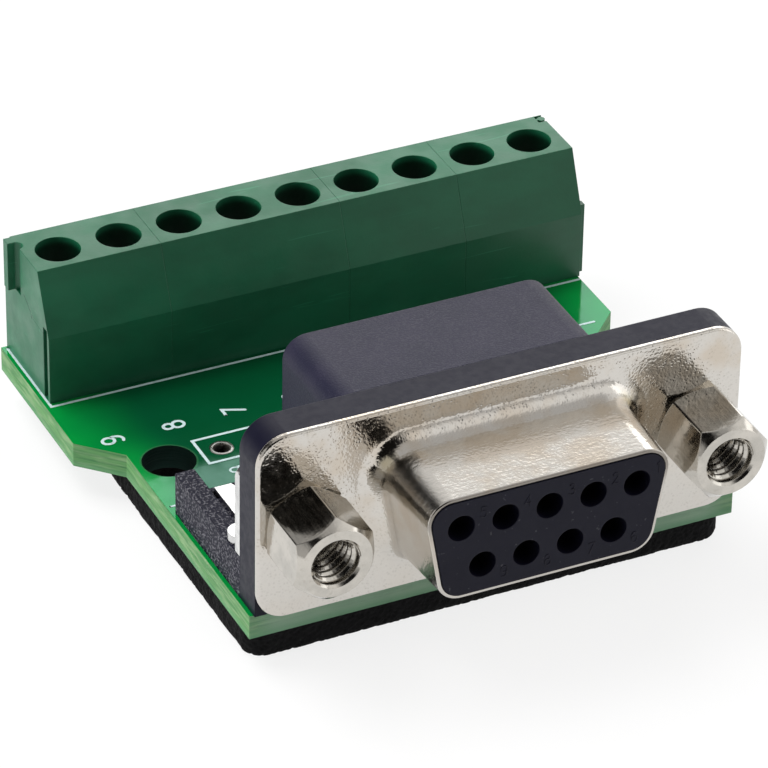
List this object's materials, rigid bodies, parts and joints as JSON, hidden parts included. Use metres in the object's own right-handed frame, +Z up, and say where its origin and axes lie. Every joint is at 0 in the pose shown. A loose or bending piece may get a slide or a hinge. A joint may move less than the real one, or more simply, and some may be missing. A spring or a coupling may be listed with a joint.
{
  "type": "d-sub terminal block adapter",
  "caption": "Board adapter that brings a D-shaped socket connector out to a row of clipped screw terminals, with hexagonal jack sockets and a foam pad underneath.",
  "frame": {"origin": "on the underside of the foam pad, halfway between the board's two mounting holes", "axes": "+X along the connector's width with contact 1 on the +X side, +Y from the connector to the terminals, +Z up from the pad"},
  "size_m": [0.0367, 0.0385, 0.0158],
  "materials": {
    "foam": "matt closed-cell foam",
    "board": "glossy solder mask",
    "shell_metal": "satin nickel plate with a fine pitted grain",
    "black_plastic": "fine matt grain",
    "jack_metal": "bright nickel plate",
    "bracket_metal": "bright tin plate",
    "contact_metal": "gold flash",
    "block_green": "satin moulded plastic",
    "screw_metal": "nickel plate",
    "cage_metal": "zinc plate",
    "pin_metal": "tin plate over brass"
  },
  "bodies": {
    "root": {"foam_pad": "foam", "circuit_board": "board", "connector_shell": "shell_metal", "front_insulator": "black_plastic", "rear_cover": "black_plastic", "jack_socket_left": "jack_metal", "jack_socket_right": "jack_metal", "board_bracket_left": "bracket_metal", "board_bracket_right": "bracket_metal", "socket_contact_1": "contact_metal", "socket_contact_2": "contact_metal", "socket_contact_3": "contact_metal", "socket_contact_4": "contact_metal", "socket_contact_5": "contact_metal", "socket_contact_6": "contact_metal", "socket_contact_7": "contact_metal", "socket_contact_8": "contact_metal", "socket_contact_9": "contact_metal", "terminal_body_1": "block_green", "terminal_body_2": "block_green", "terminal_body_3": "block_green", "terminal_body_4": "block_green", "terminal_pin_1": "pin_metal", "terminal_pin_2": "pin_metal", "terminal_pin_3": "pin_metal", "terminal_pin_4": "pin_metal", "terminal_pin_5": "pin_metal", "terminal_pin_6": "pin_metal", "terminal_pin_7": "pin_metal", "terminal_pin_8": "pin_metal", "terminal_pin_9": "pin_metal"},
    "screw_1": {"terminal_screw_1": "screw_metal"},
    "cage_1": {"wire_cage_1": "cage_metal"},
    "screw_2": {"terminal_screw_2": "screw_metal"},
    "cage_2": {"wire_cage_2": "cage_metal"},
    "screw_3": {"terminal_screw_3": "screw_metal"},
    "cage_3": {"wire_cage_3": "cage_metal"},
    "screw_4": {"terminal_screw_4": "screw_metal"},
    "cage_4": {"wire_cage_4": "cage_metal"},
    "screw_5": {"terminal_screw_5": "screw_metal"},
    "cage_5": {"wire_cage_5": "cage_metal"},
    "screw_6": {"terminal_screw_6": "screw_metal"},
    "cage_6": {"wire_cage_6": "cage_metal"},
    "screw_7": {"terminal_screw_7": "screw_metal"},
    "cage_7": {"wire_cage_7": "cage_metal"},
    "screw_8": {"terminal_screw_8": "screw_metal"},
    "cage_8": {"wire_cage_8": "cage_metal"},
    "screw_9": {"terminal_screw_9": "screw_metal"},
    "cage_9": {"wire_cage_9": "cage_metal"}
  },
  "joints": [
    {"name": "cage_1_lift", "type": "slide", "parent": "root", "child": "cage_1", "axis": [0, 0, 1], "range_m": [0, 0.0015]},
    {"name": "screw_1_turn", "type": "hinge", "parent": "root", "child": "screw_1", "pos_m": [0.01608, 0.01202, 0.0085], "axis": [0, 0, 1], "range_deg": [-1350, 0]},
    {"name": "cage_2_lift", "type": "slide", "parent": "root", "child": "cage_2", "axis": [0, 0, 1], "range_m": [0, 0.0015]},
    {"name": "screw_2_turn", "type": "hinge", "parent": "root", "child": "screw_2", "pos_m": [0.01212, 0.01202, 0.0085], "axis": [0, 0, 1], "range_deg": [-1350, 0]},
    {"name": "cage_3_lift", "type": "slide", "parent": "root", "child": "cage_3", "axis": [0, 0, 1], "range_m": [0, 0.0015]},
    {"name": "screw_3_turn", "type": "hinge", "parent": "root", "child": "screw_3", "pos_m": [0.00816, 0.01202, 0.0085], "axis": [0, 0, 1], "range_deg": [-1350, 0]},
    {"name": "cage_4_lift", "type": "slide", "parent": "root", "child": "cage_4", "axis": [0, 0, 1], "range_m": [0, 0.0015]},
    {"name": "screw_4_turn", "type": "hinge", "parent": "root", "child": "screw_4", "pos_m": [0.0042, 0.01202, 0.0085], "axis": [0, 0, 1], "range_deg": [-1350, 0]},
    {"name": "cage_5_lift", "type": "slide", "parent": "root", "child": "cage_5", "axis": [0, 0, 1], "range_m": [0, 0.0015]},
    {"name": "screw_5_turn", "type": "hinge", "parent": "root", "child": "screw_5", "pos_m": [0.00024, 0.01202, 0.0085], "axis": [0, 0, 1], "range_deg": [-1350, 0]},
    {"name": "cage_6_lift", "type": "slide", "parent": "root", "child": "cage_6", "axis": [0, 0, 1], "range_m": [0, 0.0015]},
    {"name": "screw_6_turn", "type": "hinge", "parent": "root", "child": "screw_6", "pos_m": [-0.00372, 0.01202, 0.0085], "axis": [0, 0, 1], "range_deg": [-1350, 0]},
    {"name": "cage_7_lift", "type": "slide", "parent": "root", "child": "cage_7", "axis": [0, 0, 1], "range_m": [0, 0.0015]},
    {"name": "screw_7_turn", "type": "hinge", "parent": "root", "child": "screw_7", "pos_m": [-0.00768, 0.01202, 0.0085], "axis": [0, 0, 1], "range_deg": [-1350, 0]},
    {"name": "cage_8_lift", "type": "slide", "parent": "root", "child": "cage_8", "axis": [0, 0, 1], "range_m": [0, 0.0015]},
    {"name": "screw_8_turn", "type": "hinge", "parent": "root", "child": "screw_8", "pos_m": [-0.01164, 0.01202, 0.0085], "axis": [0, 0, 1], "range_deg": [-1350, 0]},
    {"name": "cage_9_lift", "type": "slide", "parent": "root", "child": "cage_9", "axis": [0, 0, 1], "range_m": [0, 0.0015]},
    {"name": "screw_9_turn", "type": "hinge", "parent": "root", "child": "screw_9", "pos_m": [-0.0156, 0.01202, 0.0085], "axis": [0, 0, 1], "range_deg": [-1350, 0]}
  ],
  "couplings": [
    {"joint": "screw_1_turn", "follows": "cage_1_lift", "rad_per_m": -15708},
    {"joint": "screw_2_turn", "follows": "cage_2_lift", "rad_per_m": -15708},
    {"joint": "screw_3_turn", "follows": "cage_3_lift", "rad_per_m": -15708},
    {"joint": "screw_4_turn", "follows": "cage_4_lift", "rad_per_m": -15708},
    {"joint": "screw_5_turn", "follows": "cage_5_lift", "rad_per_m": -15708},
    {"joint": "screw_6_turn", "follows": "cage_6_lift", "rad_per_m": -15708},
    {"joint": "screw_7_turn", "follows": "cage_7_lift", "rad_per_m": -15708},
    {"joint": "screw_8_turn", "follows": "cage_8_lift", "rad_per_m": -15708},
    {"joint": "screw_9_turn", "follows": "cage_9_lift", "rad_per_m": -15708}
  ]
}
